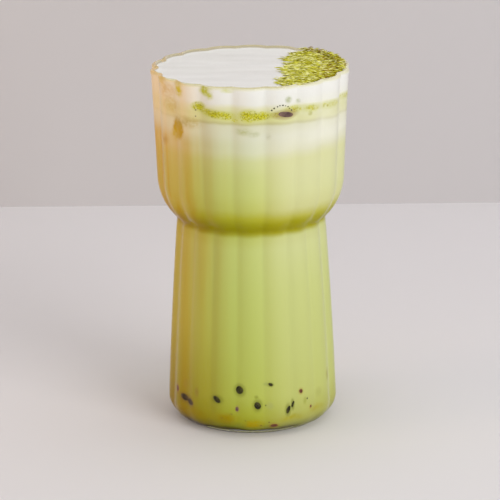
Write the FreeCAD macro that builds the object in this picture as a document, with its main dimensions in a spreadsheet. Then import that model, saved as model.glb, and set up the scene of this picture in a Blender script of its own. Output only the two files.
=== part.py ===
"""Matcha milk tea in a clear fluted glass, built with the glass that holds it.

The glass is a thin wall of even thickness, pinched to a waist: a lower body that
flares gently to a rounded foot, and a wider bowl above the waist. Rounded flutes
run from the foot to the scalloped rim. The drink lies in the glass in layers, each
a solid that reaches from wall to wall: milk tea, pale milk, matcha and milk foam.
Frame: millimetres, +Z up, origin at the centre of the foot, one flute facing -Y.
"""
import FreeCAD
import Part
import math
import os

# Driving dimensions in millimetres, except for the two counts.
SIZES = {
    # the outside of the glass, measured to the crests of the flutes
    "glass_height": 150.0,
    "waist_height": 87.3,
    "foot_radius": 35.7,
    "waist_radius": 31.15,
    "bowl_radius": 39.05,
    "rim_radius": 40.7,
    "corner_radius": 10.0,
    "shoulder_arc": 26.0,
    "body_bulge": 0.35,
    # the wall, the floor and the rounded lip
    "wall_thickness": 1.8,
    "floor_thickness": 3.0,
    "lip_height": 3.0,
    "lip_bead": 0.35,
    "lip_round": 0.65,
    # the flutes
    "flute_count": 18,
    "flute_depth_foot": 1.2,
    "flute_depth_rim": 1.9,
    # the drink, measured down from the rim
    "foam_drop": 1.3,
    "foam_thickness": 6.3,
    "matcha_thickness": 6.9,
    "milk_thickness": 10.8,
    # how far a cutting tool stands clear of what it cuts
    "cut_clearance": 2.0,
}

# rings per stretch of the profile: each pair is joined by a ruled band of flutes
CORNER_STEPS = 5
BODY_STEPS = 2
SHOULDER_STEPS = 4
WALL_STEPS = 1

doc = FreeCAD.newDocument("matcha_milk_tea")
sheet = doc.addObject("Spreadsheet::Sheet", "sizes")
for row, (alias, value) in enumerate(SIZES.items(), start=1):
    sheet.set(f"A{row}", alias)
    sheet.set(f"B{row}", str(value))
    sheet.setAlias(f"B{row}", alias)
doc.recompute()


def size(alias):
    """A driving dimension, read back from the sheet."""
    return float(sheet.get(alias))


# ---------------------------------------------------------------- fluted forms


def blend(start, end, share):
    """The value that lies this share of the way from start to end."""
    return start + (end - start) * share


def flute_depth(height):
    """Crest to crease: nothing under the foot, full at the corner, deepest at the rim."""
    fade = min(1.0, height / size("corner_radius"))
    share = height / size("glass_height")
    return fade * blend(size("flute_depth_foot"), size("flute_depth_rim"), share)


def flute_ring(height, crest_radius, depth):
    """A closed ring of outward arcs that meet in creases, at one height."""
    count = int(size("flute_count"))
    half_pitch = math.pi / count
    crease_radius = crest_radius - depth

    def point(radius, angle):
        return FreeCAD.Vector(radius * math.sin(angle), -radius * math.cos(angle), height)

    arcs = []
    for flute in range(count):
        crest = 2 * half_pitch * flute
        arcs.append(Part.Arc(
            point(crease_radius, crest - half_pitch),
            point(crest_radius, crest),
            point(crease_radius, crest + half_pitch),
        ).toShape())
    return Part.Wire(arcs)


def waist_point(inset):
    """Height and crest radius of the waist, on a surface that lies inset inside the glass."""
    arc_centre_radius = size("bowl_radius") - size("shoulder_arc")
    outer_reach = size("waist_radius") - arc_centre_radius
    outer_drop = math.sqrt(size("shoulder_arc") ** 2 - outer_reach ** 2)
    shoulder_height = size("waist_height") + outer_drop
    reach = outer_reach - inset
    drop = math.sqrt((size("shoulder_arc") - inset) ** 2 - reach ** 2)
    return shoulder_height - drop, arc_centre_radius + reach


def shoulder_height():
    """Height at which the round underside of the bowl has become its wall."""
    reach = size("waist_radius") - size("bowl_radius") + size("shoulder_arc")
    return size("waist_height") + math.sqrt(size("shoulder_arc") ** 2 - reach ** 2)


def body_profile(inset, floor):
    """Heights and crest radii from the floor, round the corner and up to the waist."""
    corner = size("corner_radius") - inset
    corner_centre = size("foot_radius") - size("corner_radius")
    points = []
    for step in range(CORNER_STEPS + 1):
        angle = math.radians(90) * step / CORNER_STEPS
        height = floor + corner * (1 - math.cos(angle))
        points.append((height, corner_centre + corner * math.sin(angle)))
    foot_height, foot_radius = points[-1]
    waist_height, waist_radius = waist_point(inset)
    for step in range(1, BODY_STEPS + 1):
        share = step / BODY_STEPS
        bulge = size("body_bulge") * 4 * share * (1 - share)
        points.append((
            blend(foot_height, waist_height, share),
            blend(foot_radius, waist_radius, share) + bulge,
        ))
    return points


def bowl_profile(inset):
    """Heights and crest radii from the waist, round the shoulder and up to the lip."""
    arc = size("shoulder_arc") - inset
    arc_centre = size("bowl_radius") - size("shoulder_arc")
    waist_height, waist_radius = waist_point(inset)
    waist_angle = math.acos((waist_radius - arc_centre) / arc)
    points = []
    for step in range(SHOULDER_STEPS + 1):
        angle = waist_angle * (1 - step / SHOULDER_STEPS)
        height = shoulder_height() - arc * math.sin(angle)
        points.append((height, arc_centre + arc * math.cos(angle)))
    lip_foot = size("glass_height") - size("lip_height")
    for step in range(1, WALL_STEPS + 1):
        share = step / WALL_STEPS
        points.append((
            blend(shoulder_height(), lip_foot, share),
            blend(size("bowl_radius"), size("rim_radius"), share) - inset,
        ))
    return points


def outer_lip():
    """The bead that swells out of the wall and rounds over at the top."""
    top = size("glass_height")
    bead_radius = size("rim_radius") + size("lip_bead")
    return [
        (top - size("lip_height") / 2, bead_radius),
        (top - size("lip_round") * 0.7, bead_radius - size("lip_round") * 0.15),
        (top, bead_radius - size("lip_round")),
    ]


def inner_lip():
    """The mouth: the inside of the wall, rounding outwards and on past the top."""
    top = size("glass_height")
    mouth_radius = size("rim_radius") - size("wall_thickness")
    return [
        (top - size("lip_height") / 2, mouth_radius),
        (top - size("lip_round") * 0.7, mouth_radius + size("lip_round") * 0.15),
        (top, mouth_radius + size("lip_round")),
        (top + size("lip_round"), mouth_radius + 3 * size("lip_round")),
    ]


def ring_of(point):
    """The flute ring at one point of a profile."""
    height, radius = point
    return flute_ring(height, radius, flute_depth(height))


def fluted_form(name, inset, floor, lip):
    """A solid from the floor to the top of the lip: bands of flutes between two flat ends."""
    profile = body_profile(inset, floor)[:-1] + bowl_profile(inset) + lip
    bands = Part.makeLoft([ring_of(point) for point in profile], False, True)
    ends = [Part.Face(ring_of(profile[0])), Part.Face(ring_of(profile[-1]))]
    form = doc.addObject("Part::Feature", name)
    form.Shape = Part.Solid(Part.Shell(bands.Faces + ends))
    return form


outer_form = fluted_form("outer_form", 0.0, 0.0, outer_lip())
cavity_form = fluted_form("cavity_form", size("wall_thickness"), size("floor_thickness"), inner_lip())

# ---------------------------------------------------------------- the glass

glass = doc.addObject("Part::Cut", "glass")
glass.Base = outer_form
glass.Tool = cavity_form
glass.Label = "glass"

# ---------------------------------------------------------------- the drink

FOAM_TOP = "sizes.glass_height - sizes.foam_drop"
MATCHA_TOP = f"{FOAM_TOP} - sizes.foam_thickness"
MILK_TOP = f"{MATCHA_TOP} - sizes.matcha_thickness"
TEA_TOP = f"{MILK_TOP} - sizes.milk_thickness"
SLAB_RADIUS = "sizes.rim_radius + sizes.cut_clearance"


def level_slab(name, bottom, top):
    """A round slab wider than the glass, between two levels of the drink."""
    slab = doc.addObject("Part::Cylinder", name)
    slab.setExpression("Radius", SLAB_RADIUS)
    slab.setExpression("Height", f"({top}) - ({bottom})")
    slab.setExpression("Placement.Base.z", bottom)
    return slab


def drink_layer(name, slab):
    """What one slab cuts out of the room inside the glass."""
    layer = doc.addObject("Part::Common", name)
    layer.Base = cavity_form
    layer.Tool = slab
    layer.Label = name
    return layer


floor_level = "sizes.floor_thickness - sizes.cut_clearance"
tea_slab = level_slab("tea_slab", floor_level, TEA_TOP)
milk_slab = level_slab("milk_slab", TEA_TOP, MILK_TOP)
matcha_slab = level_slab("matcha_slab", MILK_TOP, MATCHA_TOP)
foam_slab = level_slab("foam_slab", MATCHA_TOP, FOAM_TOP)

parts = [
    glass,
    drink_layer("milk_tea", tea_slab),
    drink_layer("milk_layer", milk_slab),
    drink_layer("matcha_layer", matcha_slab),
    drink_layer("milk_foam", foam_slab),
]
doc.recompute()

# ---------------------------------------------------------------- tests and files

for item in doc.Objects:
    if "Invalid" in item.State or "Error" in item.State:
        raise RuntimeError(f"{item.Label} failed: {item.State}")
for part in parts:
    if part.Shape.isNull() or not part.Shape.isValid():
        raise RuntimeError(f"{part.Label} has no valid shape")
    if len(part.Shape.Solids) != 1:
        raise RuntimeError(f"{part.Label} is {len(part.Shape.Solids)} solids")

os.makedirs("parts", exist_ok=True)
for part in parts:
    part.Shape.exportStep(f"parts/{part.Label}.step")
    print(f"{part.Label}: {part.Shape.Volume / 1000:.2f} cm3")
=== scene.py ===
"""A clear fluted glass of matcha milk tea: finishes, fine pieces, stage and light."""

import functools
import math
import random

import bpy
import numpy as np
from mathutils import Matrix, Vector, noise


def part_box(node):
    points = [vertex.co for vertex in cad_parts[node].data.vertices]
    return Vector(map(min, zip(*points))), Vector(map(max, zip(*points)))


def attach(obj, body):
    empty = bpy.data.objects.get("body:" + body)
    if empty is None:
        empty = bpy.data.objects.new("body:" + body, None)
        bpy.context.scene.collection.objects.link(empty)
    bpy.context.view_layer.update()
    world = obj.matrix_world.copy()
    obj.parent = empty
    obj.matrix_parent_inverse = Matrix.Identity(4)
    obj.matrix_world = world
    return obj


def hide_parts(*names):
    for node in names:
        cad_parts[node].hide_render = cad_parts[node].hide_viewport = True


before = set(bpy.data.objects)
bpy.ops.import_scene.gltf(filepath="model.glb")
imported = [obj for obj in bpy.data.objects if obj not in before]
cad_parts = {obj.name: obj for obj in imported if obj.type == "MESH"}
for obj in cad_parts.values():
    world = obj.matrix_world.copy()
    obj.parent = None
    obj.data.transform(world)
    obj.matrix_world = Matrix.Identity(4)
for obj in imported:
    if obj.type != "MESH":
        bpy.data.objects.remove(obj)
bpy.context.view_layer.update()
random.seed(11)

MM = 0.001

# ------------------------------------------------------------------ sizes of the glass, in mm

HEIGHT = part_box("glass")[1].z / MM
WAIST_HEIGHT = 87.3
FOOT_RADIUS = 35.7
WAIST_RADIUS = 31.15
BOWL_RADIUS = 39.05
RIM_RADIUS = 40.7
CORNER = 10.0
SHOULDER_ARC = 26.0
BODY_BULGE = 0.35
WALL = 1.8
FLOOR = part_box("milk_tea")[0].z / MM
LIP = 3.0
LIP_BEAD = 0.35
FLUTES = 18
# depth of the creases between flutes, at the foot and at the rim
FLUTE_FOOT = 1.2
FLUTE_RIM = 1.9
# how far round a crease is smoothed, on the glass low down, on its rim, and on the drink
BODY_SOFTENING = math.radians(4.0)
RIM_SOFTENING = math.radians(1.3)
DRINK_SOFTENING = math.radians(2.4)
# points across one flute and all the way round
FLUTE_STEPS = 12
AROUND = FLUTES * FLUTE_STEPS
# points along the profile, in its corner, body, shoulder and bowl
CORNER_STEPS = 14
BODY_STEPS = 24
SHOULDER_STEPS = 18
BOWL_STEPS = 24

# levels of the drink, from the frame, and how far it reaches into the wall so that no air shows
TEA_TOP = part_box("milk_tea")[1].z / MM
MILK_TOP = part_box("milk_layer")[1].z / MM
MATCHA_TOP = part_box("matcha_layer")[1].z / MM
FOAM_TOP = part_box("milk_foam")[1].z / MM
REACH = 0.4
# a row of points this far from a sharp edge keeps the shading of the side straight
EDGE = 0.02


# ------------------------------------------------------------------ the fluted form


def mix(start, end, share):
    return start + (end - start) * share


def smooth(low, high, value):
    """0 below low and 1 above high, with a smooth rise between."""
    share = min(1.0, max(0.0, (value - low) / (high - low)))
    return share * share * (3 - 2 * share)


def flute_depth(height):
    """Depth of the creases at a height; they run out in the rounded foot."""
    fade = min(1.0, height / CORNER)
    return fade * mix(FLUTE_FOOT, FLUTE_RIM, height / HEIGHT)


def lobe(crest, depth, angle):
    """Radius of a flute's arc at an angle from its crest."""
    half = math.pi / FLUTES
    crease = crest - depth
    if depth < 1e-6:
        return crest
    centre = (crest ** 2 - crease ** 2) / (2 * (crest - crease * math.cos(half)))
    bulge = crest - centre
    return centre * math.cos(angle) + math.sqrt(bulge ** 2 - (centre * math.sin(angle)) ** 2)


def from_crest(angle):
    """An angle measured from the nearest flute's crest."""
    pitch = 2 * math.pi / FLUTES
    return (angle + pitch / 2) % pitch - pitch / 2


def wall_radius(crest, depth, angle, softening):
    """Radius of the fluted wall at any angle, with its creases softened."""
    total = 0.0
    for step, weight in zip((-1.0, -0.5, 0.0, 0.5, 1.0), (1, 4, 6, 4, 1)):
        total += weight * lobe(crest, depth, from_crest(angle + step * softening))
    return total / 16


def direction(angle):
    """Unit vector on the ground; angle 0 faces the front and grows to the right."""
    return Vector((math.sin(angle), -math.cos(angle), 0.0))


def shoulder_height():
    """Where the round shoulder meets the straight side of the bowl."""
    reach = WAIST_RADIUS - BOWL_RADIUS + SHOULDER_ARC
    return WAIST_HEIGHT + math.sqrt(SHOULDER_ARC ** 2 - reach ** 2)


def profile(inset, floor):
    """Heights and crest radii from the floor to the foot of the lip, inset inside the outer skin."""
    points = []
    corner = CORNER - inset
    corner_centre = FOOT_RADIUS - CORNER
    for step in range(CORNER_STEPS + 1):
        angle = math.pi / 2 * step / CORNER_STEPS
        height = floor + corner * (1 - math.cos(angle))
        points.append((height, corner_centre + corner * math.sin(angle)))
    arc = SHOULDER_ARC - inset
    arc_centre = BOWL_RADIUS - SHOULDER_ARC
    waist_radius = WAIST_RADIUS - inset
    waist_height = shoulder_height() - math.sqrt(arc ** 2 - (waist_radius - arc_centre) ** 2)
    foot_height, foot_radius = points[-1]
    for step in range(1, BODY_STEPS + 1):
        share = step / BODY_STEPS
        bulge = BODY_BULGE * 4 * share * (1 - share)
        height = mix(foot_height, waist_height, share)
        points.append((height, mix(foot_radius, waist_radius, share) + bulge))
    waist_angle = math.acos((waist_radius - arc_centre) / arc)
    for step in range(1, SHOULDER_STEPS + 1):
        angle = waist_angle * (1 - step / SHOULDER_STEPS)
        points.append((shoulder_height() - arc * math.sin(angle), arc_centre + arc * math.cos(angle)))
    for step in range(1, BOWL_STEPS + 1):
        share = step / BOWL_STEPS
        height = mix(shoulder_height(), HEIGHT - LIP, share)
        points.append((height, mix(BOWL_RADIUS, RIM_RADIUS, share) - inset))
    return points


def crest_at(points, height):
    """Crest radius of a profile at any height."""
    heights = [h for h, _ in points]
    return float(np.interp(height, heights, [r for _, r in points]))


OUTSIDE = profile(0.0, 0.0)
INSIDE = profile(WALL, FLOOR)
DRINK_SKIN = profile(WALL - REACH, FLOOR - REACH)


@functools.cache
def drink_crest(height):
    """Crest radius of the drink's side."""
    return crest_at(DRINK_SKIN, height)


@functools.cache
def skin_radius(height, angle):
    """Radius of the drink's side at one height and angle."""
    return wall_radius(drink_crest(height), flute_depth(height), angle, DRINK_SOFTENING)


# ------------------------------------------------------------------ mesh tools


def add_piece(name, verts, faces, materials, smooth_faces=True):
    mesh = bpy.data.meshes.new(name)
    mesh.from_pydata([tuple(v) for v in verts], [], faces)
    for material in materials:
        mesh.materials.append(material)
    if smooth_faces:
        mesh.polygons.foreach_set("use_smooth", [True] * len(mesh.polygons))
    mesh.update()
    piece = bpy.data.objects.new(name, mesh)
    bpy.context.scene.collection.objects.link(piece)
    return piece


def ring(height, radius_at):
    """A ring of points at one height; radius_at takes the angle. Millimetres in, metres out."""
    points = []
    for step in range(AROUND):
        angle = 2 * math.pi * step / AROUND
        points.append((direction(angle) * radius_at(angle) + Vector((0, 0, height))) * MM)
    return points


def fluted_ring(height, crest):
    """A ring of the glass, with its creases crisper near the rim."""
    depth = flute_depth(height)
    softening = mix(BODY_SOFTENING, RIM_SOFTENING, smooth(136, 147, height))
    return ring(height, lambda angle: wall_radius(crest, depth, angle, softening))


def drink_ring(height):
    """A ring of the drink's side."""
    return ring(height, lambda angle: skin_radius(height, angle))


def skin_of_rings(rings, start=None, end=None):
    """Points and faces of a skin through rings, closed at either end by a fan to a point."""
    verts = [p for r in rings for p in r]
    faces = []
    for level in range(len(rings) - 1):
        low, high = level * AROUND, (level + 1) * AROUND
        for step in range(AROUND):
            after = (step + 1) % AROUND
            faces.append((low + step, low + after, high + after, high + step))
    if start is not None:
        verts.append(start)
        hub = len(verts) - 1
        faces += [(hub, (step + 1) % AROUND, step) for step in range(AROUND)]
    if end is not None:
        verts.append(end)
        hub, top = len(verts) - 1, (len(rings) - 1) * AROUND
        faces += [(hub, top + step, top + (step + 1) % AROUND) for step in range(AROUND)]
    return verts, faces


# ------------------------------------------------------------------ shader tools


def feed(tree, slot, item):
    """Link a socket or a Value to a slot, or set the slot to a plain value."""
    if isinstance(item, Value):
        item = item.socket
    if isinstance(item, bpy.types.NodeSocket):
        tree.links.new(item, slot)
    else:
        slot.default_value = item


class Value:
    """A socket that takes part in Python arithmetic by adding Math nodes to its tree."""

    def __init__(self, tree, socket):
        self.tree, self.socket = tree, socket

    def _math(self, operation, *others):
        node = self.tree.nodes.new("ShaderNodeMath")
        node.operation = operation
        for slot, item in zip(node.inputs, others):
            feed(self.tree, slot, item)
        return Value(self.tree, node.outputs[0])

    def __add__(self, other):
        return self._math("ADD", self, other)

    __radd__ = __add__

    def __mul__(self, other):
        return self._math("MULTIPLY", self, other)

    __rmul__ = __mul__

    def __sub__(self, other):
        return self._math("SUBTRACT", self, other)

    def __rsub__(self, other):
        return self._math("SUBTRACT", other, self)

    def __truediv__(self, other):
        return self._math("DIVIDE", self, other)

    def at_least(self, other):
        return self._math("MAXIMUM", self, other)

    def at_most(self, other):
        return self._math("MINIMUM", self, other)

    def turned_from(self, other):
        """The angle in radians whose tangent is this over other."""
        return self._math("ARCTAN2", self, other)

    def step(self, low, high):
        """0 below low and 1 above high, with a smooth rise between."""
        node = self.tree.nodes.new("ShaderNodeMapRange")
        node.interpolation_type = "SMOOTHSTEP"
        self.tree.links.new(self.socket, node.inputs["Value"])
        node.inputs["From Min"].default_value = low
        node.inputs["From Max"].default_value = high
        return Value(self.tree, node.outputs["Result"])


class Finish:
    """One material, with the nodes that its maker's functions ask for."""

    def __init__(self, name):
        self.material = bpy.data.materials.new(name)
        self.material.use_nodes = True
        self.tree = self.material.node_tree
        self.tree.nodes.clear()
        self.output = self.tree.nodes.new("ShaderNodeOutputMaterial")

    def node(self, kind, settings=None, **sockets):
        """A node of a kind, with its settings and then the values or links of its named sockets."""
        made = self.tree.nodes.new(kind)
        for key, value in (settings or {}).items():
            setattr(made, key, value)
        for key, value in sockets.items():
            feed(self.tree, made.inputs[key.replace("_", " ")], value)
        return made

    def place(self):
        """The point on the piece, in metres, as a vector socket."""
        return self.node("ShaderNodeTexCoord").outputs["Object"]

    def axes(self):
        """The point's x, y and z in millimetres."""
        parts = self.node("ShaderNodeSeparateXYZ", Vector=self.place())
        return [Value(self.tree, parts.outputs[axis]) * (1 / MM) for axis in "XYZ"]

    def noise(self, scale, detail=3.0, stretch=(1, 1, 1), roughness=0.55):
        """A cloudy value of about 0.3 to 0.7; scale counts its lumps per metre."""
        moved = self.node("ShaderNodeVectorMath", {"operation": "MULTIPLY"})
        feed(self.tree, moved.inputs[0], self.place())
        feed(self.tree, moved.inputs[1], stretch)
        cloud = self.node("ShaderNodeTexNoise", Vector=moved.outputs[0], Scale=scale,
                          Detail=detail, Roughness=roughness)
        return Value(self.tree, cloud.outputs[0])

    def ramp(self, value, stops):
        """The colour at a value among stops of position and colour."""
        made = self.node("ShaderNodeValToRGB")
        points = made.color_ramp.elements
        while len(points) < len(stops):
            points.new(0.5)
        for point, (position, colour) in zip(points, stops):
            point.position = position
            point.color = colour
        feed(self.tree, made.inputs[0], value)
        return made.outputs[0]

    def blend(self, base, over, mask, how="MIX"):
        """Colour over laid on colour base by a mask."""
        made = self.node("ShaderNodeMix", {"data_type": "RGBA", "blend_type": how})
        for slot, item in zip((0, 6, 7), (mask, base, over)):
            feed(self.tree, made.inputs[slot], item)
        return made.outputs[2]

    def bump(self, height, strength, distance):
        return self.node("ShaderNodeBump", Strength=strength, Distance=distance, Height=height).outputs[0]

    def skin(self, colour, roughness, shine, **sockets):
        """A Principled shader with a colour, a roughness and a strength of its mirror light."""
        return self.node("ShaderNodeBsdfPrincipled", Base_Color=colour, Roughness=roughness,
                         Specular_IOR_Level=shine, **sockets).outputs[0]

    def either(self, factor, first, second):
        """Shader first where the factor is 0, and second where it is 1."""
        made = self.node("ShaderNodeMixShader")
        for slot, socket in zip(made.inputs, (factor, first, second)):
            feed(self.tree, slot, socket)
        return made.outputs[0]

    def surface(self, socket):
        """Finish the material with a shader."""
        self.tree.links.new(socket, self.output.inputs["Surface"])
        return self.material


def shade(red, green, blue):
    """A colour from its 0-255 screen values, as the linear colour that a shader takes."""
    def linear(part):
        part /= 255
        return part / 12.92 if part <= 0.04045 else ((part + 0.055) / 1.055) ** 2.4
    return (linear(red), linear(green), linear(blue), 1.0)


# ------------------------------------------------------------------ pearls in the drink

# how far a pearl stands into the wall past the drink, and how deep it is, in mm
PRESSED = 0.25
SUNK = 3.0

# tapioca pressed to the glass: turn from the front in degrees, height in mm,
# half width and half height of the patch that shows, lean in degrees, tone
FRONT_PEARLS = [
    (-64, 15.5, 1.3, 1.5, 0, 2),
    (-54.8, 13.2, 2.4, 1.3, -15, 3),
    (-48.4, 12.0, 1.9, 1.3, -20, 3),
    (-24.6, 16.2, 1.9, 1.2, -35, 0),
    (-8, 20.9, 1.75, 1.7, 0, 0),
    (-10, 12.6, 0.7, 0.9, 10, 1),
    (4.3, 14.5, 1.35, 1.7, 15, 0),
    (14, 23.1, 0.9, 0.6, -20, 0),
    (26.6, 11.4, 1.0, 1.7, -20, 0),
    (30.6, 13.2, 0.6, 1.5, -24, 0),
    (37, 18.4, 0.75, 0.85, 0, 2),
    (45.5, 10.6, 0.55, 0.6, 0, 2),
    (17, 4.9, 1.6, 0.8, 0, 2),
    (22.6, 138.2, 3.1, 1.2, -8, 1),
]
PEARLS = list(FRONT_PEARLS)
# round the side that the front doesn't show
for turn in range(90, 275, 16):
    PEARLS.append((turn + random.uniform(-7, 7), random.uniform(9, 26), random.uniform(0.7, 1.7),
                   random.uniform(0.7, 1.7), random.uniform(-40, 40), random.choice((0, 0, 1, 2))))

# specks caught in an arc over the floating pearl, and a few more low down
ARC_START = 14.0
ARC_PITCH = 1.55
ARC_FOOT = 139.2
ARC_RISE = 2.9
for step in range(9):
    turn = ARC_START + step * ARC_PITCH + random.uniform(-0.3, 0.3)
    height = ARC_FOOT + ARC_RISE * math.sin(0.35 + step * 0.33)
    PEARLS.append((turn, height, random.uniform(0.2, 0.36), random.uniform(0.2, 0.36), 0, 0))
PEARLS += [
    (-33.4, 139.2, 0.25, 0.3, 0, 1),
    (-33.6, 136.6, 0.2, 0.25, 0, 1),
    (-14, 10.4, 0.3, 0.25, 0, 0),
    (10.4, 14.2, 0.25, 0.3, 0, 0),
    (-21, 8.4, 0.3, 0.25, 0, 2),
    (13, 6.6, 0.25, 0.3, 0, 2),
    (42, 14.6, 0.3, 0.4, 0, 0),
    (7, 5.2, 0.3, 0.25, 0, 2),
    (-4, 7.8, 0.25, 0.22, 0, 0),
]

# the colour of the drink close round a pearl of each tone
HAZE = {0: shade(118, 122, 40), 1: shade(160, 134, 84), 2: shade(170, 134, 60), 3: shade(134, 104, 50)}
HAZE_REACH = 2.1
PEARL_SHADES = [
    (turn, height, wide * HAZE_REACH, tall * HAZE_REACH, 0.8, HAZE[tone])
    for turn, height, wide, tall, _, tone in FRONT_PEARLS
]
# pearls too deep in the milk to show more than their shade
PEARL_SHADES += [
    (-54, 19.4, 2.0, 2.6, 0.35, shade(166, 130, 60)),
    (-41, 17.6, 1.8, 2.6, 0.55, shade(150, 120, 60)),
    (3.6, 18.2, 1.3, 0.9, 0.55, shade(120, 124, 30)),
    (10.6, 23.4, 1.6, 1.0, 0.40, shade(140, 150, 90)),
    (13.4, 14.0, 2.2, 2.0, 0.45, shade(168, 172, 110)),
    (40, 14.0, 1.2, 2.0, 0.40, shade(140, 140, 30)),
    (55, 15.4, 2.4, 2.8, 0.25, shade(150, 146, 80)),
    (-31, 5.6, 3.0, 1.0, 0.35, shade(132, 116, 50)),
]


# ------------------------------------------------------------------ finishes

# the drink's colours up the side of the glass: height in mm, colour
DRINK_COLOURS = [
    # 3 mm: a dark line at the very foot, painted shade where the drink meets the floor of the glass
    (3.0, shade(104, 98, 20)),
    (4.0, shade(158, 160, 46)),
    (7.0, shade(176, 176, 46)),
    (12.0, shade(176, 180, 66)),
    (18.0, shade(186, 192, 88)),
    (32.0, shade(190, 197, 100)),
    (60.0, shade(196, 203, 114)),
    (80.0, shade(202, 208, 126)),
    (84.8, shade(196, 200, 110)),
    # 86.4 to 94.5 mm: a dark olive band, painted shade under the inward curve of the bowl at the waist
    (86.4, shade(172, 168, 40)),
    (88.0, shade(158, 150, 0)),
    (91.0, shade(166, 160, 0)),
    (94.5, shade(190, 186, 50)),
    (98.5, shade(204, 205, 110)),
    (105.0, shade(208, 211, 130)),
    (113.0, shade(212, 214, 142)),
    (119.0, shade(218, 218, 160)),
    (123.0, shade(226, 224, 194)),
    (130.0, shade(226, 224, 202)),
    (134.4, shade(220, 218, 188)),
    (135.4, shade(200, 196, 140)),
    (136.6, shade(216, 214, 150)),
    (139.5, shade(214, 213, 146)),
    (141.8, shade(226, 223, 184)),
    (143.6, shade(237, 235, 226)),
    (148.0, shade(240, 238, 232)),
]
# matcha in clumps; a warm tint on the left, partly syrup and partly painted warm light, with painted shade
# beside it and low down; painted light on the right; and milk that has not blended in
LEAF = shade(204, 199, 24)
LEAF_PALE = shade(204, 204, 96)
LEAF_DEEP = shade(132, 122, 4)
SYRUP_AND_WARM_LIGHT = shade(255, 204, 108)
LOW_LEFT_WARM_SHADE = shade(228, 220, 156)
LEFT_PAINTED_SHADE = shade(236, 246, 231)
PALE_WARM_LIGHT = shade(255, 222, 172)
RIGHT_PAINTED_LIGHT = shade(234, 230, 208)
MILK = shade(242, 240, 224)
# radius at which a turn becomes a distance round the drink
SKIN_RADIUS = 38.0

# marks on the drink's side: turn from the front in degrees, height in mm,
# half width and half height in mm, strength, colour
SMUDGES = [
    (-64, 147.6, 3.4, 1.8, 0.40, shade(238, 200, 90)),
    (-46, 146.4, 2.7, 2.8, 0.70, shade(222, 196, 30)),
    (-26, 147.6, 3.0, 2.0, 0.80, shade(196, 196, 40)),
    (-23, 145.6, 1.6, 1.4, 0.50, shade(200, 200, 60)),
    (-12, 148.2, 2.6, 0.9, 0.45, shade(206, 206, 90)),
    (-48.0, 130.0, 3.2, 3.9, 2.0, shade(204, 158, 0)),
    (-51, 127.4, 3.0, 2.6, 0.60, shade(214, 172, 40)),
    # these four wide tan patches on the left are partly syrup and partly painted warm light and shade on the
    # left side
    (-40, 133.8, 8.0, 2.6, 0.40, shade(192, 164, 76)),
    (-58, 145.0, 6.0, 3.6, 0.40, shade(228, 186, 110)),
    (-62, 123.8, 2.4, 2.4, 0.50, shade(206, 158, 80)),
    (-54, 139.0, 5.0, 3.4, 0.40, shade(216, 176, 84)),
    (-3, 131.8, 3.2, 1.6, 0.50, shade(188, 190, 132)),
    (3, 130.6, 2.4, 1.2, 0.40, shade(186, 188, 136)),
    (12, 129.4, 1.2, 1.4, 0.40, shade(196, 194, 160)),
    (24, 144.2, 1.5, 1.5, 0.60, shade(178, 184, 140)),
    (31, 142.8, 1.1, 1.1, 0.55, shade(182, 186, 150)),
    (39, 137.4, 1.0, 1.0, 0.55, shade(164, 160, 40)),
    (67, 21.0, 1.8, 2.6, 0.45, shade(150, 140, 10)),
    (-18, 8.0, 6.0, 2.6, 0.60, shade(160, 138, 0)),
    (-44, 8.6, 5.0, 2.4, 0.60, shade(158, 134, 10)),
    (2, 6.0, 5.0, 2.0, 0.80, shade(186, 164, 0)),
    (30, 7.4, 6.0, 1.8, 0.45, shade(176, 164, 20)),
    (52, 9.0, 5.0, 1.8, 0.35, shade(176, 160, 30)),
]
# lumps of matcha along its line: as above, with a slope in mm per mm
LINE_LUMPS = [
    (-31, 141.6, 3.2, 1.5, 0.95, 0.0),
    (-20, 139.3, 8.6, 1.35, 0.95, -0.16),
    (-9, 137.3, 2.4, 0.9, 0.6, -0.3),
    (0, 139.0, 3.6, 2.0, 1.0, 0.0),
    (6, 138.6, 5.6, 1.4, 1.0, 0.05),
    (14, 138.9, 5.0, 0.9, 0.7, 0.1),
    (28, 140.9, 5.0, 1.2, 0.75, 0.0),
    (40, 141.0, 6.0, 1.3, 0.65, 0.0),
    (58, 141.0, 8.0, 1.3, 0.55, 0.05),
    (80, 142.2, 8.0, 1.2, 0.6, 0.0),
    (108, 141.4, 9.0, 1.3, 0.8, 0.0),
    (140, 139.6, 8.0, 1.6, 0.9, 0.05),
    (-158, 140.2, 9.0, 1.4, 0.9, 0.0),
    (-124, 141.0, 8.0, 1.3, 0.8, -0.04),
    (-95, 140.6, 7.0, 1.3, 0.5, 0.05),
]


def waist_shade_band(z):
    """1 in the band of painted shade at the waist, fading to 0 above and below it."""
    return (z - 84).step(0, 3) * (1 - (z - 92).step(0, 7))


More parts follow.
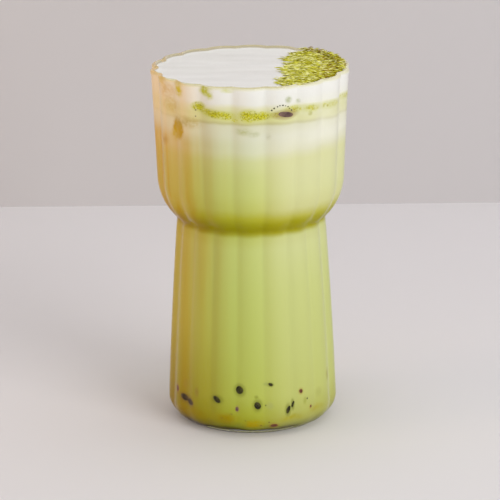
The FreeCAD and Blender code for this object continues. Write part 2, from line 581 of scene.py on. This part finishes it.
def drink_finish(dark_spots):
    """Opaque milk tea against glass: soft bands up the side, a lumpy matcha line, smudges, and painted light
    and shade: warm on the left, paler on the right, dark at the waist and the foot.
    """
    look = Finish("drink")
    x, y, z = look.axes()
    around = x.turned_from(y * -1) * SKIN_RADIUS
    drift = (look.noise(60, 3) - 0.5) * 2
    coarse = look.noise(420, 4, (1, 1, 1.3), 0.7)
    grain = look.noise(1700, 2, (1, 1, 1), 0.7)
    wander = drift * (z - 112).step(0, 14) * 1.3 + drift * (1 - (z - 20).step(0, 30)) * 2.4
    # the top layers sit a little lower on the right than on the left
    settled = z + (z - 122).step(0, 9) * (0.8 + around.step(8, 66) * (1 - around.step(76, 116)) * 2.3)
    speckle = (grain - 0.5) * (z - 84).step(0, 4) * (1 - (z - 96).step(0, 8)) * 5
    level = settled + wander + speckle
    stops = [(height / HEIGHT, colour) for height, colour in DRINK_COLOURS]
    colour = look.ramp(level / HEIGHT, stops)

    # on the left, in upright streaks, a warm tint that is partly syrup run down the inside and partly painted
    # warm light
    beside = (1 - around.step(-16, 16)) * around.step(-34, -22)
    side = (1 - around.step(-38, 0)) * (around + 96).step(0, 30)
    streaks = look.noise(150, 2, (1, 1, 0.03), 0.6)
    run = side * (0.66 + streaks.step(0.36, 0.62) * 0.34)
    body = (1 - (z - 124).step(0, 12)) * (0.76 + z.step(84, 94) * 0.24)
    # painted shade: the left of the front darker and more olive
    colour = look.blend(colour, LEFT_PAINTED_SHADE, beside * body, "MULTIPLY")
    colour = look.blend(colour, SYRUP_AND_WARM_LIGHT, run * body, "MULTIPLY")
    # painted shade, darker and warmer, low on the left
    colour = look.blend(colour, LOW_LEFT_WARM_SHADE, side * (1 - z.step(10, 52)), "MULTIPLY")
    # painted warm light, peach, on the pale upper layers at the left
    colour = look.blend(colour, PALE_WARM_LIGHT, run * (z - 124).step(0, 12) * (1 - around.step(-32, -12)) * 0.85)
    # painted light and reflection: the right side, up to the milk layer, made paler and creamier where the
    # key light falls
    right = around.step(0, 22) * (1 - around.step(60, 90))
    lit_right = right * (1 - (z - 112).step(0, 12)) * (0.45 + z.step(60, 100) * 0.55)
    colour = look.blend(colour, RIGHT_PAINTED_LIGHT, lit_right * (1 - waist_shade_band(z)) * 0.3)
    # milk that has not blended in: pale cloudy patches high on the right
    cloud = look.noise(38, 3, (1, 1, 1.6), 0.6).step(0.34, 0.6)
    high = around.step(6, 34) * (1 - around.step(76, 112)) * (z - 122).step(0, 5) * (1 - (z - 142).step(0, 3))
    colour = look.blend(colour, MILK, high * (0.3 + cloud * 0.3))

    def mark(turn, height, wide, tall, slope=0.0, measured=z):
        """1 at the middle of an oval patch, falling to 0 at its edge."""
        across = (around - math.radians(turn) * SKIN_RADIUS + drift * 0.7) / wide
        up = (measured - height - across * (wide * slope) + drift * 0.35) / tall
        return (1 - (across * across + up * up)).at_least(0)

    for turn, height, wide, tall, strength, tone in SMUDGES:
        mask = mark(turn, height, wide * 1.45, tall * 1.45) * (0.65 + coarse.step(0.32, 0.62) * 0.45)
        colour = look.blend(colour, tone, (mask * mask * (strength * 1.5)).at_most(0.95))
    lumps = None
    for turn, height, wide, tall, strength, slope in LINE_LUMPS:
        lump = mark(turn, height, wide * 1.3, tall * 1.7, slope, settled) * strength
        lumps = lump if lumps is None else lumps.at_least(lump)
    fluff = look.noise(1900, 3, (1, 1, 1), 0.7)
    torn = coarse.step(0.34, 0.66) * 0.35 + fluff.step(0.36, 0.64) * 0.65
    ragged = (lumps * 1.2 + torn - 1.14).step(0, 0.4)
    colour = look.blend(colour, LEAF_PALE, (lumps * 0.9).at_most(0.55))
    colour = look.blend(colour, LEAF, ragged * 0.9)
    colour = look.blend(colour, LEAF_DEEP, ragged * grain.step(0.48, 0.6) * 0.85)

    # the shade that sunk pearls cast through the milk in front of them
    for turn, height, wide, tall, strength, tone in dark_spots:
        mask = mark(turn, height, wide, tall)
        colour = look.blend(colour, tone, (mask * strength).at_most(0.95))
    return look.surface(look.skin(colour, 0.6, 0.0))


def foam_finish():
    """The open top of the milk foam: off-white, dense, with faint drawn-out ripples."""
    look = Finish("foam_top")
    streaks = look.noise(60, 3, (0.35, 1.6, 1))
    fine = look.noise(900, 2)
    colour = look.ramp(streaks, [(0.3, shade(233, 231, 225)), (0.7, shade(244, 242, 238))])
    return look.surface(look.skin(colour, 0.55, 0.25, Normal=look.bump(fine, 0.15, 0.0002)))


def glass_finish():
    """Clear glass, faintly gold-green where it thickens at the lip, that lets lamps reach the drink."""
    look = Finish("clear_glass")
    _, _, z = look.axes()
    tint = look.blend(shade(254, 254, 252), shade(240, 233, 180), z.step(148.2, 149.6))
    clear = look.skin(tint, 0.06, 0.5, Transmission_Weight=1.0, IOR=1.22)
    path = look.node("ShaderNodeLightPath")
    open_air = look.node("ShaderNodeBsdfTransparent", Color=(0.97, 0.975, 0.965, 1)).outputs[0]
    for_lamps = look.either(path.outputs["Is Shadow Ray"], clear, open_air)
    return look.surface(look.either(path.outputs["Is Diffuse Ray"], for_lamps, open_air))


# ground matcha, from straw to deep olive
POWDER_TONES = [
    ("pale", shade(226, 224, 110), shade(252, 250, 196)),
    ("leaf", shade(186, 182, 20), shade(232, 230, 92)),
    ("olive", shade(120, 112, 0), shade(180, 170, 20)),
    ("toasted", shade(112, 84, 0), shade(178, 150, 10)),
]
# cooked tapioca, by the tone numbers above
PEARL_TONES = [
    ("black", shade(28, 26, 4), shade(78, 74, 34)),
    ("plum", shade(84, 62, 60), shade(136, 108, 96)),
    ("russet", shade(96, 52, 36), shade(142, 90, 62)),
    ("umber", shade(48, 34, 12), shade(100, 80, 48)),
]


def powder_finish(tones):
    """Ground matcha: dry and matt, in one of its tones."""
    name, deep, light = tones
    look = Finish("matcha_" + name)
    cloud = look.noise(700, 3, (0.6, 1.2, 1), 0.7)
    colour = look.ramp(cloud, [(0.3, deep), (0.7, light)])
    return look.surface(look.skin(colour, 0.9, 0.15, Normal=look.bump(cloud, 0.4, 0.0003)))


def pearl_finish(tones):
    """Cooked tapioca: near black, with brown or purple depth."""
    name, deep, light = tones
    look = Finish("tapioca_" + name)
    cloud = look.noise(420, 3)
    colour = look.ramp(cloud, [(0.35, deep), (0.68, light)])
    return look.surface(look.skin(colour, 0.45, 0.1))


def plain_finish(name, colour, roughness, one_sided=False):
    """A plain matt surface; a one-sided one is clear when it is seen from its back."""
    look = Finish(name)
    cloud = look.noise(6, 2)
    tone = look.blend(colour, tuple(c * 0.97 for c in colour[:3]) + (1.0,), cloud)
    skin = look.skin(tone, roughness, 0.2)
    if one_sided:
        clear = look.node("ShaderNodeBsdfTransparent").outputs[0]
        skin = look.either(look.node("ShaderNodeNewGeometry").outputs["Backfacing"], skin, clear)
    return look.surface(skin)


DRINK = drink_finish(PEARL_SHADES)
FOAM = foam_finish()
GLASS = glass_finish()
POWDER = [powder_finish(tone) for tone in POWDER_TONES]
PEARL = [pearl_finish(tone) for tone in PEARL_TONES]


# ------------------------------------------------------------------ the glass


def glass_wall():
    """The glass as one closed skin: outside, over the rounded lip, and down the inside."""
    bead = RIM_RADIUS + LIP_BEAD
    mouth = RIM_RADIUS - WALL
    rings = [fluted_ring(h, r) for h, r in OUTSIDE]
    half = (bead - mouth) / 2
    middle = (bead + mouth) / 2
    bead_steps, lip_steps = 5, 12
    for step in range(1, bead_steps):
        share = step / bead_steps
        height = mix(HEIGHT - LIP, HEIGHT - half, share)
        rings.append(fluted_ring(height, mix(RIM_RADIUS, bead, smooth(0, 1, share))))
    for step in range(lip_steps + 1):
        angle = math.pi * step / lip_steps
        rings.append(fluted_ring(HEIGHT - half + half * math.sin(angle), middle + half * math.cos(angle)))
    rings += [fluted_ring(h, r) for h, r in reversed(INSIDE)]
    verts, faces = skin_of_rings(rings, Vector((0, 0, 0)), Vector((0, 0, FLOOR * MM)))
    piece = add_piece("glass_wall", verts, faces, [GLASS])
    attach(piece, "root")
    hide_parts("glass")


# ------------------------------------------------------------------ the drink


def foam_lift(point):
    """How far the foam's surface stands above or below its level, in mm."""
    x, y = point.x / MM, point.y / MM
    drawn = noise.noise(Vector((x * 0.035, y * 0.12, 3.1)))
    broad = noise.noise(Vector((x * 0.03 + 7, y * 0.04, 0.4)))
    return 0.28 * drawn + 0.35 * broad


def layer(name, node, bottom, top):
    """One layer of the drink, from wall to wall and just into the wall."""
    clear_of_ends = 0.3
    inner = [h for h, _ in DRINK_SKIN if bottom + clear_of_ends < h < top - clear_of_ends]
    heights = [bottom, bottom + EDGE] + inner + [top - EDGE, top]
    rings = [drink_ring(h) for h in heights]
    verts, faces = skin_of_rings(rings, Vector((0, 0, bottom * MM)), Vector((0, 0, top * MM)))
    piece = add_piece(name, verts, faces, [DRINK])
    caps = list(piece.data.polygons)[-2 * AROUND:]
    for face in caps:
        face.use_smooth = False
    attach(piece, "root")
    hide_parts(node)


def foam_cap():
    """The foam: fluted sides, and an open top with ripples and a raised edge at the wall."""
    climb = 0.35
    heights = [MATCHA_TOP, MATCHA_TOP + EDGE, 144.5, 146.5, FOAM_TOP - 0.6, FOAM_TOP + climb]
    rings = [drink_ring(h) for h in heights]
    side_rows = len(rings)
    inward = 60
    for count in range(1, inward):
        share = 1 - count / inward
        points = []
        for step in range(AROUND):
            angle = 2 * math.pi * step / AROUND
            edge = skin_radius(FOAM_TOP, angle)
            even = crest_at(DRINK_SKIN, FOAM_TOP) - flute_depth(FOAM_TOP) / 2
            point = direction(angle) * mix(even, edge, smooth(0.8, 1, share)) * share * MM
            rise = climb * (1 - smooth(0.0, 0.05, 1 - share))
            point.z = (FOAM_TOP + rise + smooth(0.0, 0.12, 1 - share) * foam_lift(point)) * MM
            points.append(point)
        rings.append(points)
    centre = Vector((0, 0, 0))
    centre.z = (FOAM_TOP + foam_lift(centre)) * MM
    verts, faces = skin_of_rings(rings, Vector((0, 0, MATCHA_TOP * MM)), centre)
    piece = add_piece("milk_foam_cap", verts, faces, [DRINK, FOAM])
    side_faces = (side_rows - 1) * AROUND
    under_start = side_faces + (inward - 1) * AROUND
    for index, face in enumerate(piece.data.polygons):
        under = under_start <= index < under_start + AROUND
        face.material_index = 0 if under or index < side_faces else 1
        face.use_smooth = not under
    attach(piece, "root")
    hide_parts("milk_foam")


def pressed_pearl(turn, height, wide, tall, lean):
    """A pearl flattened where it presses on the glass, as points and faces in metres."""
    turns, tiers = 24, 16
    tilt = math.radians(lean)
    seed = random.uniform(0, 50)
    verts, faces = [], []

    def place(across, along, out):
        level = across * math.cos(tilt) - along * math.sin(tilt)
        up = across * math.sin(tilt) + along * math.cos(tilt)
        angle = math.radians(turn) + level / skin_radius(height, math.radians(turn))
        return (direction(angle) * (skin_radius(height + up, angle) + out) + Vector((0, 0, height + up))) * MM

    verts.append(place(0, 0, PRESSED))
    for tier in range(1, tiers):
        rise = math.pi * tier / tiers
        out = math.cos(rise)
        out = out * (PRESSED if out > 0 else SUNK) - 0.02
        for step in range(turns):
            swing = 2 * math.pi * step / turns
            way = Vector((math.cos(swing), math.sin(swing), 0))
            dent = 1 + 0.22 * noise.noise(way * 0.9 + Vector((seed, 0, 0)))
            span = math.sin(rise) * dent
            verts.append(place(way.x * wide * span, way.y * tall * span, out))
    verts.append(place(0, 0, -SUNK))
    top = len(verts) - 1
    last = 1 + (tiers - 2) * turns
    for step in range(turns):
        after = (step + 1) % turns
        faces.append((0, 1 + step, 1 + after))
        faces.append((last + after, last + step, top))
        for tier in range(tiers - 2):
            low = 1 + tier * turns
            faces.append((low + after, low + step, low + turns + step, low + turns + after))
    return verts, faces


def join(parts):
    """One list of points and one of faces from many, with each part's finish number."""
    verts, faces, finishes = [], [], []
    for part_verts, part_faces, finish in parts:
        start = len(verts)
        verts += part_verts
        faces += [tuple(start + index for index in face) for face in part_faces]
        finishes += [finish] * len(part_faces)
    return verts, faces, finishes


def loose_piece(name, parts, materials, smooth_faces):
    """One piece of many small closed bodies that ride with the glass."""
    verts, faces, finishes = join(parts)
    piece = add_piece(name, verts, faces, materials, smooth_faces)
    piece.data.polygons.foreach_set("material_index", finishes)
    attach(piece, "root")


def pearls():
    """Tapioca sunk in the drink, each showing only the patch that presses on the glass."""
    parts = []
    for turn, height, wide, tall, lean, tone in PEARLS:
        parts.append(pressed_pearl(turn, height, wide, tall, lean) + (tone,))
    loose_piece("tapioca_pearls", parts, PEARL, True)


# nothing is sprinkled left of this x, in mm
POWDER_START = 6
# where the sprinkled matcha begins across the foam: y and x in mm, front to back
POWDER_EDGE = [(-38, 19), (-30, 16), (-23, 12), (-12, 17), (-2, 15), (8, 18), (18, 16), (28, 19), (38, 24)]


def inside_powder(x, y):
    """How far a point on the foam is inside the sprinkled patch, in mm; negative outside."""
    edge = float(np.interp(y, [p[0] for p in POWDER_EDGE], [p[1] for p in POWDER_EDGE]))
    fingers = 3.4 * noise.noise(Vector((x * 0.08, y * 0.55, 1.7)))
    fringe = 2.0 * noise.noise(Vector((x * 0.3, y * 1.3, 9)))
    return x - edge + fingers + fringe


def powder_top(x, y):
    """Height of the powder over the foam, in mm; below the foam outside the patch."""
    inside = inside_powder(x, y)
    lumps = noise.noise(Vector((x * 0.22, y * 0.4, 5.5)))
    heap = mix(0.5, 1.2, smooth(14, 34, x)) * (0.8 + 0.5 * lumps)
    return mix(-0.8, heap, smooth(-1.5, 2.5, inside))


# radius of the foam's edge at each angle
EDGE_ANGLES = np.linspace(-math.pi, math.pi, 721)
EDGE_RADII = np.array([skin_radius(FOAM_TOP, angle) - REACH for angle in EDGE_ANGLES])


def room_left(x, y):
    """How far a point on the foam is from the wall, in mm."""
    return float(np.interp(math.atan2(x, -y), EDGE_ANGLES, EDGE_RADII)) - math.hypot(x, y)


def powder_bed():
    """The bed of matcha on the foam: a closed, lumpy sheet that dips under the foam at its edge."""
    spacing = 0.6
    clear_of_wall = 0.15
    under_foam = 1.5
    reach = int(RIM_RADIUS / spacing)
    square = [(0, 0), (1, 0), (1, 1), (0, 1)]
    filled = set()
    for i in range(int(POWDER_START / spacing), reach):
        for j in range(-reach, reach):
            if all(room_left((i + a) * spacing, (j + b) * spacing) > clear_of_wall for a, b in square):
                filled.add((i, j))
    index, verts, faces = {}, [], []

    def corner(i, j, under):
        key = (i, j, under)
        if key not in index:
            x, y = i * spacing, j * spacing
            level = FOAM_TOP + foam_lift(Vector((x, y, 0)) * MM)
            index[key] = len(verts)
            verts.append(Vector((x, y, level - under_foam if under else level + powder_top(x, y))) * MM)
        return index[key]

    beside = [(0, -1), (1, 0), (0, 1), (-1, 0)]
    for i, j in sorted(filled):
        faces.append(tuple(corner(i + a, j + b, False) for a, b in square))
        faces.append(tuple(corner(i + a, j + b, True) for a, b in reversed(square)))
        for side in range(4):
            if (i + beside[side][0], j + beside[side][1]) not in filled:
                (a, b), (c, d) = square[side], square[(side + 1) % 4]
                first, second = (i + a, j + b), (i + c, j + d)
                faces.append((corner(*first, False), corner(*first, True),
                              corner(*second, True), corner(*second, False)))
    # the bed takes the olive tone: matcha under the flakes, and also painted shade in the gaps between them
    piece = add_piece("matcha_bed", verts, faces, [POWDER[2]])
    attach(piece, "root")


def flake(middle, heading, rise, length, width, thick):
    """A small pointed sliver with a four-sided waist, in mm, as a closed body."""
    along = Vector((math.cos(heading) * math.cos(rise), math.sin(heading) * math.cos(rise), math.sin(rise)))
    side = Vector((-math.sin(heading), math.cos(heading), 0))
    over = along.cross(side)
    bend = side * (random.uniform(-0.06, 0.06) * length)
    half = along * (length / 2)
    verts = [(middle + half + bend) * MM, (middle - half + bend) * MM]
    for way in (side * width, over * thick, side * -width, over * -thick):
        verts.append((middle + way / 2) * MM)
    faces = []
    for turn in range(4):
        a, b = 2 + turn, 2 + (turn + 1) % 4
        faces += [(0, a, b), (1, b, a)]
    return verts, faces


FOAM_FLAKES = 3000
RIM_FLAKES = 760


def powder_flakes():
    """Matcha in drawn-out slivers over the bed, strays at its edge, and more caught on the rim."""
    parts = []
    while len(parts) < FOAM_FLAKES:
        x, y = random.uniform(POWDER_START, RIM_RADIUS), random.uniform(-RIM_RADIUS, RIM_RADIUS)
        length = random.uniform(1.4, 5.2)
        heading, rise = random.gauss(0, 0.34), random.gauss(0, 0.12)
        tip_x, tip_y = math.cos(heading) * length / 2, math.sin(heading) * length / 2
        if min(room_left(x + tip_x, y + tip_y), room_left(x - tip_x, y - tip_y)) < 0.1:
            continue
        inside = inside_powder(x, y)
        if random.random() > smooth(-3.5, 1.5, inside):
            continue
        level = FOAM_TOP + foam_lift(Vector((x, y, 0)) * MM) + max(0.0, powder_top(x, y))
        middle = Vector((x, y, level + random.uniform(0.0, 0.4)))
        clump = noise.noise(Vector((x * 0.16, y * 0.34, 8.2))) * 1.6 + 0.2
        toasted = 0.5 * smooth(24, 38, x)
        light_clump = random.random() < clump + 0.5
        weights = (0.36, 0.40, 0.12, toasted) if light_clump else (0.08, 0.36, 0.50, toasted)
        tone = random.choices((0, 1, 2, 3), weights)[0]
        parts.append(flake(middle, heading, rise, length, random.uniform(0.4, 1.0),
                           random.uniform(0.2, 0.45)) + (tone,))
    for _ in range(RIM_FLAKES):
        angle = math.radians(random.triangular(74, 150, 116))
        radius = random.uniform(RIM_RADIUS - WALL - 2.6, RIM_RADIUS - 1.0) - flute_depth(HEIGHT) / 3
        middle = direction(angle) * radius + Vector((0, 0, HEIGHT - 0.1 + random.random() ** 2 * 1.3))
        tone = random.choices((0, 1, 2, 3), (0.30, 0.38, 0.24, 0.30))[0]
        parts.append(flake(middle, random.gauss(0, 0.5), random.gauss(0, 0.2), random.uniform(0.8, 2.8),
                           random.uniform(0.3, 0.6), random.uniform(0.2, 0.4)) + (tone,))
    loose_piece("matcha_flakes", parts, POWDER, False)


glass_wall()
layer("tea_fill", "milk_tea", DRINK_SKIN[0][0], TEA_TOP)
layer("milk_fill", "milk_layer", TEA_TOP, MILK_TOP)
layer("matcha_fill", "matcha_layer", MILK_TOP, MATCHA_TOP)
foam_cap()
pearls()
powder_bed()
powder_flakes()

# ------------------------------------------------------------------ stage, light and camera

# lengths here are in metres; the camera, floor and backdrop are turned together about the glass
TURN = math.radians(1.25)
CAMERA_AWAY = 1.0361
CAMERA_UP = 0.383
CAMERA_SIDE = -0.00065
CAMERA_PITCH = math.radians(16.75)
CAMERA_ROLL = math.radians(-0.5)
CAMERA_LENS = 186.45
WALL_BEHIND = 0.322


def stage():
    """A plain floor, and a backdrop that is clear from behind."""
    floor_finish = plain_finish("pale_floor", shade(231, 227, 228), 0.7)
    wall_finish = plain_finish("pale_backdrop", shade(205, 201, 202), 0.9, one_sided=True)
    half = 3.0
    left, right = (-half, WALL_BEHIND, 0), (half, WALL_BEHIND, 0)
    floor_corners = [(-half, -half, 0), (half, -half, 0), right, left]
    wall_corners = [left, right, (half, WALL_BEHIND, half), (-half, WALL_BEHIND, half)]
    floor = add_piece("floor", floor_corners, [(0, 1, 2, 3)], [floor_finish])
    wall = add_piece("backdrop", wall_corners, [(0, 1, 2, 3)], [wall_finish])
    for part in (floor, wall):
        part.rotation_euler = (0, 0, TURN)


def lamp(name, place, target, across, watts, colour=(1, 1, 1)):
    """A soft area lamp that faces its target."""
    data = bpy.data.lights.new(name, "AREA")
    data.shape = "RECTANGLE"
    data.size, data.size_y = across
    data.energy = watts
    data.color = colour
    made = bpy.data.objects.new(name, data)
    made.location = place
    made.rotation_mode = "QUATERNION"
    made.rotation_quaternion = (Vector(target) - Vector(place)).to_track_quat("-Z", "Y")
    bpy.context.scene.collection.objects.link(made)


def light():
    """A key light from the right, one from above, a weak warm one from the left, and the room."""
    centre = (0, 0, 0.08)
    lamp("key", (0.8, -0.9, 0.62), centre, (0.7, 0.7), 8.0)
    lamp("top", (0.1, 0.1, 1.3), centre, (0.9, 0.9), 3.2)
    lamp("warm_side", (-0.85, -0.25, 0.22), centre, (0.4, 0.5), 1.7, (1.0, 0.66, 0.34))
    world = bpy.data.worlds.new("room")
    bpy.context.scene.world = world
    world.use_nodes = True
    sky = world.node_tree.nodes["Background"]
    sky.inputs[0].default_value = (0.94, 0.97, 1.0, 1)
    sky.inputs[1].default_value = 0.57


def camera():
    """The camera in front of the glass, looking a little down on it."""
    data = bpy.data.cameras.new("camera")
    data.lens = CAMERA_LENS
    data.sensor_width = 36
    data.clip_start, data.clip_end = 0.01, 20
    made = bpy.data.objects.new("camera", data)
    turn = Matrix.Rotation(math.pi / 2 - CAMERA_PITCH, 4, "X") @ Matrix.Rotation(CAMERA_ROLL, 4, "Z")
    stand = Matrix.Translation((CAMERA_SIDE, -CAMERA_AWAY, CAMERA_UP))
    made.matrix_world = Matrix.Rotation(TURN, 4, "Z") @ stand @ turn
    bpy.context.scene.collection.objects.link(made)
    bpy.context.scene.camera = made


stage()
light()
camera()
bpy.context.scene.view_settings.view_transform = "Standard"
